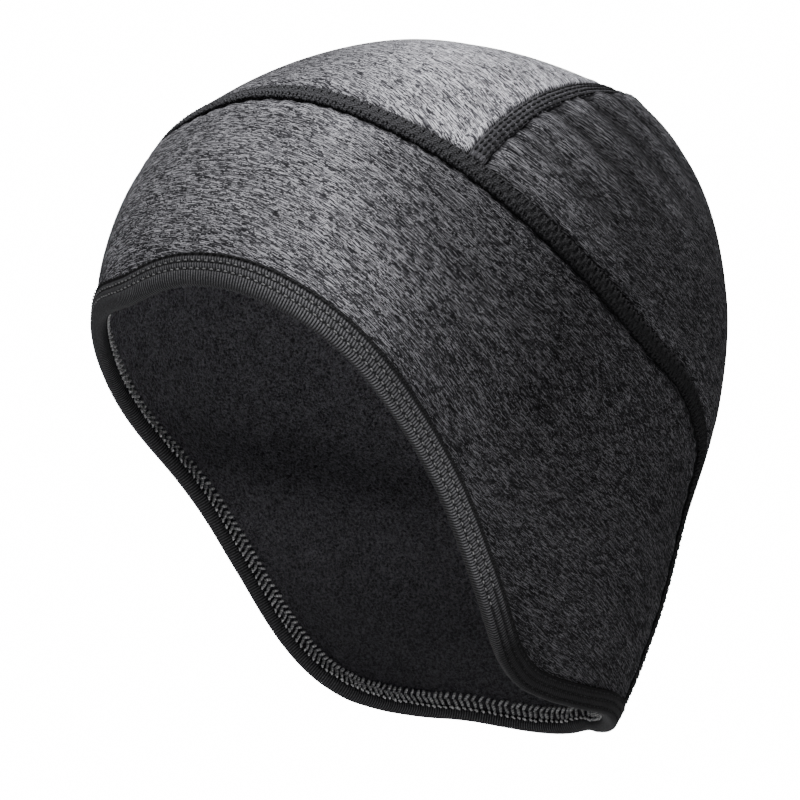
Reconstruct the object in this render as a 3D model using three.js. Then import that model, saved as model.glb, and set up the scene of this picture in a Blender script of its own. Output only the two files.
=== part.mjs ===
// Helmet liner cap: a close knit cap with a high forehead arch, ear covers and a nape.
// Millimetres, +Z up. The wearer looks along -Y and the wearer's left is +X.
// The origin is where the crown of the head carries the lining, so the cap hangs below it.

import * as THREE from 'three';
import { mergeVertices } from 'three/addons/utils/BufferGeometryUtils.js';

// Form, measured from the centre of the head to the outside of the knit
const CROWN_HEIGHT = 101;
const NAPE_DROP = 91;
const FRONT_REACH = 93;
const BACK_REACH = 101.5;
const SIDE_REACH = 77;

// Layers, from the outside in
const KNIT = 1.0;
const LAYER_GAP = 1.0;
const LINING = 1.0;

// Binding folded over the rim
const BINDING = 0.8;
const BINDING_GAP = 0.5;
const OUTER_LEG = 7;
const INNER_LEG = 5.5;
const FOLD_DROP = 1.8;
const LEG_CLEAR = 0.6;

// Flat seams let in between the panels
const LONG_SEAM_WIDTH = 5;
const CROSS_SEAM_WIDTH = 5;
const SEAM_GAP = 0.5;

// Gathers of the rear crown panel behind the cross seam
const GATHER_COUNT = 20;
const GATHER_HEIGHT = 1.3;
const GATHER_REACH = 34;

// Facets
const RIM_FACETS = 88;
const LINING_FACETS = 60;
const LINING_ROWS = 12;
const BAND_FACETS = 68;
const BAND_ROWS = 6;
const FRONT_FACETS = 36;
const FRONT_ROWS = 8;
const GATHER_FACETS = 3 * GATHER_COUNT;
const REAR_ROWS = 10;
const LONG_SEAM_FACETS = 96;
const CROSS_SEAM_FACETS = FRONT_FACETS;

// Fullness of the form against a plain egg of the reaches above,
// by degrees down from the crown
const FULLNESS = [
  { down: 0, front: 1.0, back: 1.0, side: 1.0 },
  { down: 25, front: 0.985, back: 1.08, side: 1.03 },
  { down: 50, front: 1.01, back: 1.07, side: 1.165 },
  { down: 70, front: 0.995, back: 1.045, side: 1.115 },
  { down: 90, front: 0.97, back: 1.005, side: 1.005 },
  { down: 110, front: 0.985, back: 1.0, side: 0.863 },
  { down: 130, front: 1.025, back: 1.12, side: 0.895 },
  { down: 150, front: 1.07, back: 1.32, side: 1.04 },
];

// Fold of the rim, by degrees around from the forehead
const RIM = [
  { around: 0, down: 84.1 },
  { around: 15, down: 83.2 },
  { around: 30, down: 86.7 },
  { around: 45, down: 97.3 },
  { around: 60, down: 117.2 },
  { around: 75, down: 136.8 },
  { around: 90, down: 149 },
  { around: 105, down: 153.5 },
  { around: 120, down: 153.1 },
  { around: 135, down: 150.2 },
  { around: 150, down: 146.3 },
  { around: 180, down: 142.2 },
];

// Middle of the long seam from the forehead to its foot on the rim
const LONG_SEAM = [
  { around: 0, down: 47.4 },
  { around: 18, down: 47.9 },
  { around: 36, down: 52.4 },
  { around: 50, down: 58.1 },
  { around: 64, down: 64.5 },
  { around: 79, down: 72.5 },
  { around: 94, down: 80 },
  { around: 110, down: 87 },
  { around: 124, down: 91.2 },
  { around: 136, down: 95.5 },
  { around: 145.5, down: 99.5 },
  { around: 151, down: 106 },
  { around: 154, down: 115 },
  { around: 155.6, down: 125 },
  { around: 157.2, down: 134 },
];
const SEAM_FOOT_AROUND = 160.5;

// Middle of the cross seam from the long seam over the back of the crown
const CROSS_SEAM = [
  { around: 65.6, down: 65.3 },
  { around: 68, down: 62.2 },
  { around: 72, down: 58.4 },
  { around: 78.5, down: 53.7 },
  { around: 88, down: 48.9 },
  { around: 105, down: 42.4 },
  { around: 140, down: 34 },
  { around: 180, down: 31 },
];

const LINING_DEPTH = KNIT + LAYER_GAP;
const HEAD_DEPTH = LINING_DEPTH + LINING;

// Value of a table column between its rows, smooth through each row
function between(rows, key, column, at) {
  const last = rows.length - 2;
  const found = rows.findIndex((row) => row[key] > at) - 1;
  const i = found < 0 ? last : Math.min(found, last);
  const slope = (j) => (rows[j + 1][column] - rows[j][column]) / (rows[j + 1][key] - rows[j][key]);
  const tangent = (j) => (j === 0 ? 0 : j > last ? slope(last) : (slope(j - 1) + slope(j)) / 2);
  const span = rows[i + 1][key] - rows[i][key];
  const t = (at - rows[i][key]) / span;
  const rise = t * t * (3 - 2 * t);
  return (
    rows[i][column] * (1 - rise) +
    rows[i + 1][column] * rise +
    span * t * (1 - t) * ((1 - t) * tangent(i) - t * tangent(i + 1))
  );
}

// Unit direction from the centre of the head
function direction(around, down) {
  const turn = THREE.MathUtils.degToRad(around);
  const drop = THREE.MathUtils.degToRad(down);
  const flat = Math.sin(drop);
  return new THREE.Vector3(flat * Math.sin(turn), -flat * Math.cos(turn), Math.cos(drop));
}

// Distance from the centre of the head to the outside of the knit
function formReach(way) {
  const down = THREE.MathUtils.radToDeg(Math.acos(THREE.MathUtils.clamp(way.z, -1, 1)));
  const flat = Math.hypot(way.x, way.y);
  const height = way.z > 0 ? CROWN_HEIGHT : NAPE_DROP;
  const profile = (column, reach) =>
    between(FULLNESS, 'down', column, down) * Math.hypot(reach * flat, height * way.z);
  const lengthwise = way.y < 0 ? profile('front', FRONT_REACH) : profile('back', BACK_REACH);
  const sideways = profile('side', SIDE_REACH);
  if (flat < 1e-9) return sideways;
  return 1 / Math.hypot(way.y / flat / lengthwise, way.x / flat / sideways);
}

function onForm(point) {
  const way = point.clone().normalize();
  return way.multiplyScalar(formReach(way));
}

function outwardAt(point) {
  const way = point.clone().normalize();
  const east = new THREE.Vector3(0, 1, 0).cross(way).normalize();
  const north = way.clone().cross(east);
  const step = 0.002;
  const ahead = onForm(way.clone().addScaledVector(east, step));
  const behind = onForm(way.clone().addScaledVector(east, -step));
  const above = onForm(way.clone().addScaledVector(north, step));
  const below = onForm(way.clone().addScaledVector(north, -step));
  return ahead.sub(behind).cross(above.sub(below)).normalize();
}

// Point of the cap under a place on the form, at a depth below the outside of the knit
function skin(place, depth) {
  const point = onForm(place);
  return point.clone().addScaledVector(outwardAt(point), -depth);
}

function rimPlace(around) {
  return onForm(direction(around, between(RIM, 'around', 'down', Math.abs(around))));
}

// Stations evenly spaced along part of a curve over the form:
// each knows its place and the way across the curve, to the left of travel
function stationsAlong(curve, count, start = 0, end = 1) {
  const closed = curve.closed;
  const steps = closed ? count : count - 1;
  return Array.from({ length: count }, (_, i) => {
    const share = start + ((end - start) * i) / steps;
    const place = onForm(curve.getPointAt(share));
    const across = outwardAt(place).cross(curve.getTangentAt(share)).normalize();
    return { place, across };
  });
}

function beside(station, offset) {
  return onForm(station.place.clone().addScaledVector(station.across, offset));
}

function lineBeside(stations, offset) {
  return stations.map((station) => beside(station, offset));
}

function mirrored(rows) {
  const left = rows.map((row) => direction(row.around, row.down));
  const right = rows.filter((row) => row.around > 0 && row.around < 180);
  return { left, right: right.map((row) => direction(-row.around, row.down)) };
}

// Rim curve, from the nape round the wearer's right, the forehead and the wearer's left
function rimCurve() {
  const places = [];
  for (let around = -180; around < 180; around += 5) places.push(rimPlace(around));
  return new THREE.CatmullRomCurve3(places, true);
}

// Long seam curve, from its foot on the wearer's right over the forehead to the left foot
function longSeamCurve() {
  const { left, right } = mirrored(LONG_SEAM);
  const places = [...right.reverse(), ...left].map(onForm);
  return new THREE.CatmullRomCurve3([
    rimPlace(-SEAM_FOOT_AROUND),
    ...places,
    rimPlace(SEAM_FOOT_AROUND),
  ]);
}

// Cross seam curve, from the wearer's right over the back of the crown to the left
function crossSeamCurve() {
  const { left, right } = mirrored(CROSS_SEAM);
  return new THREE.CatmullRomCurve3([...right, ...left.reverse()].map(onForm));
}

// Share of a curve's length at its nearest point to a place
function shareNearest(curve, place) {
  const samples = 2000;
  let best = 0;
  let least = Infinity;
  for (let i = 0; i <= samples; i += 1) {
    const distance = curve.getPointAt(i / samples).distanceTo(place);
    if (distance < least) {
      least = distance;
      best = i / samples;
    }
  }
  return best;
}

function quad(a, b, c, d) {
  return [
    [a, b, c],
    [a, c, d],
  ];
}

// Faces between neighbouring rows of points; a ring also joins each row's last point to its first
function facesBetween(rows, ring) {
  const faces = [];
  for (let i = 0; i + 1 < rows.length; i += 1) {
    const width = rows[i].length;
    for (let j = 0; j < (ring ? width : width - 1); j += 1) {
      const k = (j + 1) % width;
      faces.push(...quad(rows[i][j], rows[i][k], rows[i + 1][k], rows[i + 1][j]));
    }
  }
  return faces;
}

// Cloth of one thickness under a sheet of places on the form
function cloth(sheet, depth, thickness, ring, relief = () => 0) {
  const layer = (below) =>
    sheet.map((row, i) => row.map((place, j) => skin(place, below - relief(i, j))));
  const outside = layer(depth);
  const inside = layer(depth + thickness);
  const faces = [
    ...facesBetween(outside, ring),
    ...facesBetween(inside, ring).map(([a, b, c]) => [a, c, b]),
  ];
  const edge = (above, below) => facesBetween([above, below], ring);
  faces.push(...edge(outside.at(-1), inside.at(-1)));
  if (ring) return faces;
  faces.push(...edge(inside[0], outside[0]));
  const first = (rows) => rows.map((row) => row[0]);
  const last = (rows) => rows.map((row) => row.at(-1));
  faces.push(...edge(first(outside), first(inside)));
  faces.push(...edge(last(inside), last(outside)));
  return faces;
}

// Solid swept through a row of sections, closed on itself or capped at both ends
function swept(sections, closed) {
  if (closed) return facesBetween([...sections, sections[0]], true);
  const cap = ([a, b, c, d]) => quad(a, b, c, d);
  return [
    ...facesBetween(sections, true),
    ...cap([...sections[0]].reverse()),
    ...cap(sections.at(-1)),
  ];
}

function signedVolume(faces) {
  return faces.reduce((sum, [a, b, c]) => sum + a.dot(b.clone().cross(c)) / 6, 0);
}

function piece(name, look, faces) {
  const whole = faces.filter(([a, b, c]) => !(a.equals(b) || b.equals(c) || c.equals(a)));
  const outward = signedVolume(whole) > 0 ? whole : whole.map(([a, b, c]) => [a, c, b]);
  const geometry = mergeVertices(new THREE.BufferGeometry().setFromPoints(outward.flat()), 1e-5);
  geometry.computeVertexNormals();
  const mesh = new THREE.Mesh(geometry, new THREE.MeshStandardMaterial(look));
  mesh.name = name;
  return mesh;
}

// Rows of places between a top and a bottom line
function ruled(top, bottom, rows) {
  return Array.from({ length: rows + 1 }, (_, i) =>
    top.map((place, j) => place.clone().lerp(bottom[j], i / rows)),
  );
}

const rim = rimCurve();
const longSeam = longSeamCurve();
const crossSeam = crossSeamCurve();
const longSeamSide = LONG_SEAM_WIDTH / 2 + SEAM_GAP;
const crossSeamSide = CROSS_SEAM_WIDTH / 2 + SEAM_GAP;

const longLength = longSeam.getLength();
const crossLength = crossSeam.getLength();
const rimLength = rim.getLength();
const junctions = [0, 1].map((end) => shareNearest(longSeam, crossSeam.getPointAt(end)));
const seamFeet = [0, 1].map((end) => shareNearest(rim, longSeam.getPointAt(end)));

// The seams cross nearly square, so what stops at a seam's side stops a little further along
const meeting = crossSeam.getTangentAt(0).angleTo(longSeam.getTangentAt(junctions[0]));
const clearOf = (side, ownSide) => (side + ownSide * Math.abs(Math.cos(meeting))) / Math.sin(meeting);
const crossClear = clearOf(longSeamSide, crossSeamSide) / crossLength;
const junctionClear = clearOf(crossSeamSide, longSeamSide) / longLength;

// Band panel: forehead, temples, ear covers and the sides of the nape
function bandPanel() {
  const footClear = OUTER_LEG / longLength;
  const sideClear = longSeamSide / rimLength;
  const top = stationsAlong(longSeam, BAND_FACETS + 1, footClear, 1 - footClear);
  const bottom = stationsAlong(
    rim,
    BAND_FACETS + 1,
    seamFeet[0] + sideClear,
    seamFeet[1] - sideClear,
  );
  return ruled(lineBeside(top, -longSeamSide), lineBeside(bottom, FOLD_DROP), BAND_ROWS);
}

// Front crown panel: between the long seam over the forehead and the cross seam
function frontCrownPanel() {
  const from = junctions[0] + junctionClear;
  const to = junctions[1] - junctionClear;
  const fore = stationsAlong(longSeam, FRONT_FACETS + 1, from, to);
  const aft = stationsAlong(crossSeam, FRONT_FACETS + 1, crossClear, 1 - crossClear);
  return ruled(lineBeside(aft, -crossSeamSide), lineBeside(fore, longSeamSide), FRONT_ROWS);
}

// Rear crown panel: from the cross seam back and down to the long seams and the nape
function rearCrownPanel() {
  const top = stationsAlong(crossSeam, GATHER_FACETS + 1, crossClear, 1 - crossClear);
  const foot = FOLD_DROP / longLength;
  const sideShare = junctions[0] - junctionClear - foot;
  const napeShare = (2 * (seamFeet[0] - longSeamSide / rimLength) * rimLength) / longLength;
  const sideFacets = Math.round((GATHER_FACETS * sideShare) / (2 * sideShare + napeShare));
  const napeFacets = GATHER_FACETS - 2 * sideFacets;
  const side = (from, to) =>
    lineBeside(stationsAlong(longSeam, sideFacets + 1, from, to), longSeamSide);
  const napeEnd = seamFeet[0] - longSeamSide / rimLength;
  const nape = Array.from({ length: napeFacets - 1 }, (_, i) => {
    const share = napeEnd * (1 - (2 * (i + 1)) / napeFacets);
    return beside(stationsAlong(rim, 1, (share + 1) % 1)[0], FOLD_DROP);
  });
  const bottom = [
    ...side(junctions[0] - junctionClear, foot),
    ...nape,
    ...side(1 - foot, junctions[1] + junctionClear),
  ];
  return ruled(lineBeside(top, crossSeamSide), bottom, REAR_ROWS);
}

// Height of the gathers: ridges that run back from the cross seam and die out
function gatherRelief(sheet) {
  return (i, j) => {
    const share = j / GATHER_FACETS;
    const ridge = 0.5 - 0.5 * Math.cos(2 * Math.PI * GATHER_COUNT * share);
    const run = sheet[i][j].distanceTo(sheet[0][j]) / GATHER_REACH;
    return GATHER_HEIGHT * ridge * Math.exp(-run * run) * Math.sin(Math.PI * share);
  };
}

// Lining: one shell from the crown down to a row above the binding's inner leg and its edge
function liningSheet() {
  const stations = stationsAlong(rim, LINING_FACETS);
  const crown = direction(0, 0);
  const legRow = lineBeside(stations, FOLD_DROP + INNER_LEG + LEG_CLEAR);
  const rows = Array.from({ length: LINING_ROWS }, (_, i) =>
    legRow.map((place) => {
      const turn = new THREE.Quaternion().setFromUnitVectors(crown, place.clone().normalize());
      const part = new THREE.Quaternion().slerp(turn, i / (LINING_ROWS - 1));
      return i === 0 ? crown : crown.clone().applyQuaternion(part);
    }),
  );
  return [...rows, lineBeside(stations, FOLD_DROP)];
}

function seamStrip(curve, facets, width, start, end) {
  const half = width / 2;
  const section = (station) => [
    skin(beside(station, half), 0),
    skin(beside(station, -half), 0),
    skin(beside(station, -half), KNIT),
    skin(beside(station, half), KNIT),
  ];
  return swept(stationsAlong(curve, facets + 1, start, end).map(section), false);
}

// Section of the binding: up the outer leg, round the fold and up the inner leg, and back
function bindingSection(station) {
  const middle = HEAD_DEPTH / 2;
  const bend = (turns, halfWidth, drop) =>
    turns.map((turn) => {
      const angle = (turn * Math.PI) / 2;
      return [FOLD_DROP - drop * Math.cos(angle), middle + halfWidth * Math.sin(angle)];
    });
  const outside = bend([-1, -0.6, 0, 0.6, 1], middle + BINDING_GAP + BINDING, FOLD_DROP);
  const inside = bend([-1, 0, 1], middle + BINDING_GAP, FOLD_DROP - BINDING);
  const legTop = (height, depth) => [FOLD_DROP + height, depth];
  return [
    legTop(OUTER_LEG, -BINDING_GAP - BINDING),
    ...outside,
    legTop(INNER_LEG, HEAD_DEPTH + BINDING_GAP + BINDING),
    legTop(INNER_LEG, HEAD_DEPTH + BINDING_GAP),
    ...inside.reverse(),
    legTop(OUTER_LEG, -BINDING_GAP),
  ].map(([above, depth]) => skin(beside(station, above), depth));
}

const heather = { roughness: 0.95, metalness: 0 };
const longStart = (FOLD_DROP + BINDING) / longLength;
const rearSheet = rearCrownPanel();

const cap = new THREE.Group();
cap.add(
  piece('band_panel', { color: '#515254', ...heather }, cloth(bandPanel(), 0, KNIT, false)),
  piece(
    'crown_front_panel',
    { color: '#717274', ...heather },
    cloth(frontCrownPanel(), 0, KNIT, false),
  ),
  piece(
    'crown_rear_panel',
    { color: '#434446', ...heather },
    cloth(rearSheet, 0, KNIT, false, gatherRelief(rearSheet)),
  ),
  piece(
    'long_seam',
    { color: '#232325', roughness: 0.9, metalness: 0 },
    seamStrip(longSeam, LONG_SEAM_FACETS, LONG_SEAM_WIDTH, longStart, 1 - longStart),
  ),
  piece(
    'cross_seam',
    { color: '#303133', roughness: 0.9, metalness: 0 },
    seamStrip(crossSeam, CROSS_SEAM_FACETS, CROSS_SEAM_WIDTH, crossClear, 1 - crossClear),
  ),
  piece(
    'lining',
    { color: '#1d1d1f', roughness: 1, metalness: 0 },
    cloth(liningSheet(), LINING_DEPTH, LINING, true),
  ),
  piece(
    'rim_binding',
    { color: '#19191b', roughness: 0.8, metalness: 0 },
    swept(stationsAlong(rim, RIM_FACETS).map(bindingSection), true),
  ),
);
cap.position.z = HEAD_DEPTH - CROWN_HEIGHT;

export default cap;
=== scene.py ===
import math

import bpy
import numpy as np
from mathutils import Matrix, Vector


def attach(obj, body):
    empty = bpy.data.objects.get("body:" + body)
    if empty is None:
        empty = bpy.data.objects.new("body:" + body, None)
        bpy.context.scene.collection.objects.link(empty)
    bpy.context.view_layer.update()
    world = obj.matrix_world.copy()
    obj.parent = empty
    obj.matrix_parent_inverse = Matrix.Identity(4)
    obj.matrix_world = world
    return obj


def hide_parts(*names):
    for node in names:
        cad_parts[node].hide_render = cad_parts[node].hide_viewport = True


bl_info = {
    "name": "Helmet liner cap",
    "version": (1, 0, 0),
    "blender": (4, 5, 0),
    "location": "3D View > Sidebar > Liner cap",
    "description": "Dresses the helmet liner cap in knit, fleece, binding and stitches",
    "category": "Object",
}

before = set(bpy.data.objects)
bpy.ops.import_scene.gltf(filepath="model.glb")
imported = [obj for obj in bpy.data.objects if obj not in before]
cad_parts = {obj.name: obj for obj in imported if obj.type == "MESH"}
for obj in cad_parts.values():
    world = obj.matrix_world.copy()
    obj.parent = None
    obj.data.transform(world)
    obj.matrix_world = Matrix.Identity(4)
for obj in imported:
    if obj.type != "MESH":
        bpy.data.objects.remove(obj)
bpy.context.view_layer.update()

MM = 0.001

# Form of the cap in millimetres about the centre of the head, as in the part's source
CROWN_HEIGHT = 101.0
NAPE_DROP = 91.0
FRONT_REACH = 93.0
BACK_REACH = 101.5
SIDE_REACH = 77.0
KNIT = 1.0
LAYER_GAP = 1.0
LINING = 1.0
LINING_DEPTH = KNIT + LAYER_GAP
HEAD_DEPTH = LINING_DEPTH + LINING
HEAD_CENTRE_Z = HEAD_DEPTH - CROWN_HEIGHT

# Binding and seams
BINDING = 0.8
BINDING_GAP = 0.5
OUTER_LEG = 5.9
INNER_LEG = 1.6
FOLD_DROP = 1.8
PROUD_OUTSIDE = 1.0
PROUD_INSIDE = 0.55
LONG_SEAM_WIDTH = 5.0
CROSS_SEAM_WIDTH = 5.0

# Heights on the binding's outer leg where rows of stitches sink it
BINDING_ROWS = (2.7, 4.9, 6.8)

# Pole of each panel's grain: degrees back from the crown, and the grain's bow in millimetres
# with the place and spread of that bow in degrees around; behind its place it spreads wider
BAND_GRAIN = (28.0, 14.0, 75.0, 32.0)
CROWN_GRAIN = (58.0, 0.0, 75.0, 32.0)
REAR_GRAIN = (19.0, 8.0, 95.0, 26.0)
BOW_BEHIND = 1.9

# Radii in millimetres that turn the grain's angles into lengths, across it and along it
ACROSS_GRAIN = 106.0
ALONG_GRAIN = 88.0

# Gathers behind the cross seam
GATHER_COUNT = 20
GATHER_REACH = 34.0

# Fullness by degrees down from the crown: down, front, back, side
FULLNESS = np.array(
    [
        (0, 1.0, 1.0, 1.0),
        (25, 0.985, 1.08, 1.03),
        (50, 1.01, 1.07, 1.165),
        (70, 0.995, 1.045, 1.115),
        (90, 0.97, 1.005, 1.005),
        (110, 0.985, 1.0, 0.863),
        (130, 1.025, 1.12, 0.895),
        (150, 1.07, 1.32, 1.04),
    ]
)

# Fold of the rim by degrees around from the forehead: around, down
RIM = np.array(
    [
        (0, 84.1),
        (15, 83.2),
        (30, 86.7),
        (45, 97.3),
        (60, 117.2),
        (75, 136.8),
        (90, 149.0),
        (105, 153.5),
        (120, 153.1),
        (135, 150.2),
        (150, 146.3),
        (180, 142.2),
    ]
)

# Middle of the long seam: around, down
LONG_SEAM = np.array(
    [
        (0, 47.4),
        (18, 47.9),
        (36, 52.4),
        (50, 58.1),
        (64, 64.5),
        (79, 72.5),
        (94, 80.0),
        (110, 87.0),
        (124, 91.2),
        (136, 95.5),
        (145.5, 99.5),
        (151, 106.0),
        (154, 115.0),
        (155.6, 125.0),
        (157.2, 134.0),
    ]
)
SEAM_FOOT_AROUND = 160.5

# Middle of the cross seam: around, down
CROSS_SEAM = np.array(
    [
        (65.6, 65.3),
        (68, 62.2),
        (72, 58.4),
        (78.5, 53.7),
        (88, 48.9),
        (105, 42.4),
        (140, 34.0),
        (180, 31.0),
    ]
)

# How pale the knits and the long seam's threads are, by degrees around. The values are fitted to the
# photo's tones, so they hold painted light and shade as well as the cloth's own colour.
BAND_PALE = np.array(
    [(0, 0.5), (14, 0.55), (28, 0.72), (42, 0.88), (50, 0.66)]
    + [(60, 0.37), (72, 0.28), (86, 0.2), (180, 0.25)]
)
CROWN_PALE = np.array([(0, 0.3), (28, 0.34), (44, 0.58), (58, 0.92), (180, 0.95)])
REAR_PALE = np.array([(0, 0.46), (66, 0.46), (80, 0.39), (90, 0.26), (100, 0.2), (114, 0.32), (180, 0.34)])
SEAM_PALE = np.array([(0, 1.0), (55, 0.75), (85, 0.14), (180, 0.12)])


def smooth_column(keys, values, at):
    """Values between table rows, smooth through each row and level at the first."""
    slopes = np.diff(values) / np.diff(keys)
    tangents = np.concatenate([[0.0], (slopes[:-1] + slopes[1:]) / 2, slopes[-1:]])
    at = np.asarray(at, float)
    row = np.clip(np.searchsorted(keys, at, side="right") - 1, 0, len(keys) - 2)
    span = keys[row + 1] - keys[row]
    t = (at - keys[row]) / span
    rise = t * t * (3 - 2 * t)
    bow = span * t * (1 - t) * ((1 - t) * tangents[row] - t * tangents[row + 1])
    return values[row] * (1 - rise) + values[row + 1] * rise + bow


def unit(vectors):
    return vectors / np.maximum(np.linalg.norm(vectors, axis=-1, keepdims=True), 1e-12)


def direction(around, down):
    turn, drop = np.radians(around), np.radians(down)
    flat = np.sin(drop)
    return np.stack([flat * np.sin(turn), -flat * np.cos(turn), np.cos(drop)], -1)


def form_reach(way):
    """Distance from the centre of the head to the outside of the knit."""
    down = np.degrees(np.arccos(np.clip(way[..., 2], -1, 1)))
    flat = np.hypot(way[..., 0], way[..., 1])
    height = np.where(way[..., 2] > 0, CROWN_HEIGHT, NAPE_DROP) * way[..., 2]

    def profile(column, reach):
        full = smooth_column(FULLNESS[:, 0], FULLNESS[:, column], down)
        return full * np.hypot(reach * flat, height)

    lengthwise = np.where(way[..., 1] < 0, profile(1, FRONT_REACH), profile(2, BACK_REACH))
    sideways = profile(3, SIDE_REACH)
    safe = np.maximum(flat, 1e-9)
    joined = np.hypot(way[..., 1] / safe / lengthwise, way[..., 0] / safe / sideways)
    return np.where(flat < 1e-9, sideways, 1 / np.maximum(joined, 1e-9))


def on_form(points):
    way = unit(np.asarray(points, float))
    return way * form_reach(way)[..., None]


def outward_at(points):
    way = unit(np.asarray(points, float))
    east = unit(np.cross(np.broadcast_to([0.0, 1.0, 0.0], way.shape), way))
    north = np.cross(way, east)
    step = 0.002
    along = on_form(way + step * east) - on_form(way - step * east)
    up = on_form(way + step * north) - on_form(way - step * north)
    return unit(np.cross(along, up))


def under(points, depth):
    """Points at a depth below the outside of the knit; a negative depth stands proud."""
    points = on_form(points)
    depth = np.broadcast_to(np.asarray(depth, float), points.shape[:-1])
    return points - outward_at(points) * depth[..., None]


def to_frame(points):
    """Millimetres about the head's centre to metres in the row frame."""
    return (np.asarray(points) + np.array([0.0, 0.0, HEAD_CENTRE_Z])) * MM


def through(points, steps, closed=False):
    """Centripetal curve through points, sampled finely."""
    points = np.asarray(points, float)
    if closed:
        chain = np.concatenate([points[-1:], points, points[:2]])
    else:
        first = 2 * points[0] - points[1]
        last = 2 * points[-1] - points[-2]
        chain = np.concatenate([[first], points, [last]])
    t = np.linspace(0, 1, steps, endpoint=False)[:, None]
    pieces = []
    for p0, p1, p2, p3 in zip(chain, chain[1:], chain[2:], chain[3:]):
        d0, d1, d2 = (math.sqrt(np.linalg.norm(b - a)) for a, b in ((p0, p1), (p1, p2), (p2, p3)))
        start = ((p1 - p0) / d0 - (p2 - p0) / (d0 + d1) + (p2 - p1) / d1) * d1
        end = ((p2 - p1) / d1 - (p3 - p1) / (d1 + d2) + (p3 - p2) / d2) * d1
        a = 2 * p1 - 2 * p2 + start + end
        b = -3 * p1 + 3 * p2 - 2 * start - end
        pieces.append(p1 + start * t + b * t**2 + a * t**3)
    tail = chain[1:2] if closed else chain[-2:-1]
    return np.concatenate([*pieces, tail])


class Route:
    """A curve over the form: knows its length and its stations at any share of it."""

    def __init__(self, points, closed):
        self.points = on_form(points)
        self.closed = closed
        gaps = np.linalg.norm(np.diff(self.points, axis=0), axis=1)
        self.run = np.concatenate([[0.0], np.cumsum(gaps)])
        self.length = self.run[-1]

    def at(self, distance):
        distance = np.asarray(distance, float)
        if self.closed:
            distance = np.mod(distance, self.length)
        columns = [np.interp(distance, self.run, self.points[:, k]) for k in range(3)]
        return on_form(np.stack(columns, -1))

    def stations(self, distance):
        """Places on the route, and the way across it to the left of travel."""
        distance = np.asarray(distance, float)
        place = self.at(distance)
        step = 0.6
        ahead = self.at(distance + step if self.closed else np.minimum(distance + step, self.length))
        behind = self.at(distance - step if self.closed else np.maximum(distance - step, 0))
        across = unit(np.cross(outward_at(place), ahead - behind))
        return place, across

    def beside(self, distance, offset):
        place, across = self.stations(distance)
        offset = np.broadcast_to(np.asarray(offset, float), place.shape[:-1])
        return on_form(place + across * offset[..., None])

    def nearest(self, place):
        return self.run[np.argmin(np.linalg.norm(self.points - place, axis=1))]


def rim_place(around):
    down = smooth_column(RIM[:, 0], RIM[:, 1], np.abs(around))
    return on_form(direction(around, down))


def both_sides(rows):
    left = direction(rows[:, 0], rows[:, 1])
    inner = rows[(rows[:, 0] > 0) & (rows[:, 0] < 180)]
    return left, direction(-inner[:, 0], inner[:, 1])


def rim_route():
    return Route(through(rim_place(np.arange(-180.0, 180.0, 5.0)), 24, closed=True), True)


def long_seam_route():
    left, right = both_sides(LONG_SEAM)
    foot_right, foot_left = rim_place(np.array([-SEAM_FOOT_AROUND, SEAM_FOOT_AROUND]))
    places = on_form(np.concatenate([right[::-1], left]))
    return Route(through([foot_right, *places, foot_left], 40), False)


def cross_seam_route():
    left, right = both_sides(CROSS_SEAM)
    return Route(through(on_form(np.concatenate([right, left[::-1]])), 60), False)


rim = rim_route()
long_seam = long_seam_route()
cross_seam = cross_seam_route()
JUNCTIONS = [long_seam.nearest(cross_seam.points[0]), long_seam.nearest(cross_seam.points[-1])]
SEAM_FEET = [rim.nearest(long_seam.points[0]), rim.nearest(long_seam.points[-1])]
SIDE_OF_LONG_SEAM = LONG_SEAM_WIDTH / 2 + 0.1
SIDE_OF_CROSS_SEAM = CROSS_SEAM_WIDTH / 2 + 0.1


def degrees_around(points):
    return np.abs(np.degrees(np.arctan2(points[..., 0], -points[..., 1])))


def by_degrees(points, table):
    """Value of a table of degrees around and shares, at each point."""
    return np.interp(degrees_around(points), table[:, 0], table[:, 1])


def grain_layout(points, grain):
    """Cloth coordinates along and across the grain, which lies in planes square to a pole."""
    tilt, bow, bow_at, bow_spread = grain
    tilt = math.radians(tilt)
    pole = np.array([0.0, math.sin(tilt), math.cos(tilt)])
    ahead = np.array([0.0, -math.cos(tilt), math.sin(tilt)])
    height = points @ pole
    turn = np.unwrap(np.arctan2(points[..., 0], points @ ahead), axis=-1)
    from_pole = np.arccos(np.clip(height / ACROSS_GRAIN, -1, 1))
    past = degrees_around(points) - bow_at
    bowed = bow * np.exp(-((past / np.where(past < 0, bow_spread, BOW_BEHIND * bow_spread)) ** 2))
    return ALONG_GRAIN * turn * np.sin(from_pole), bowed - ACROSS_GRAIN * from_pole


def waves(a, b, seed, count=5):
    """Gentle uneven swell between -1 and 1, always the same for a seed."""
    picks = np.random.default_rng(seed)
    total = np.zeros(np.broadcast(a, b).shape)
    for _ in range(count):
        turn = picks.uniform(0, 2 * np.pi)
        pace = picks.uniform(0.6, 1.6)
        shift = picks.uniform(0, 2 * np.pi)
        total += np.sin(pace * (np.cos(turn) * a + np.sin(turn) * b) + shift)
    return total / count


def add_object(name, vertices, faces, corner_uvs, material, pale_share=None):
    mesh = bpy.data.meshes.new(name)
    mesh.from_pydata(np.asarray(vertices).tolist(), [], faces)
    if pale_share is None:
        pale_share = np.ones(len(vertices))
    # This attribute holds the cloth's own paleness together with painted light and shade.
    pale = mesh.attributes.new("paleness_and_painted_light", "FLOAT", "POINT")
    pale.data.foreach_set("value", np.asarray(pale_share, np.float32))
    layer = mesh.uv_layers.new(name="cloth")
    layer.data.foreach_set("uv", np.asarray(corner_uvs, np.float32).ravel())
    mesh.polygons.foreach_set("use_smooth", [True] * len(mesh.polygons))
    mesh.materials.append(material)
    mesh.update()
    piece = bpy.data.objects.new(name, mesh)
    bpy.context.scene.collection.objects.link(piece)
    return piece


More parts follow.
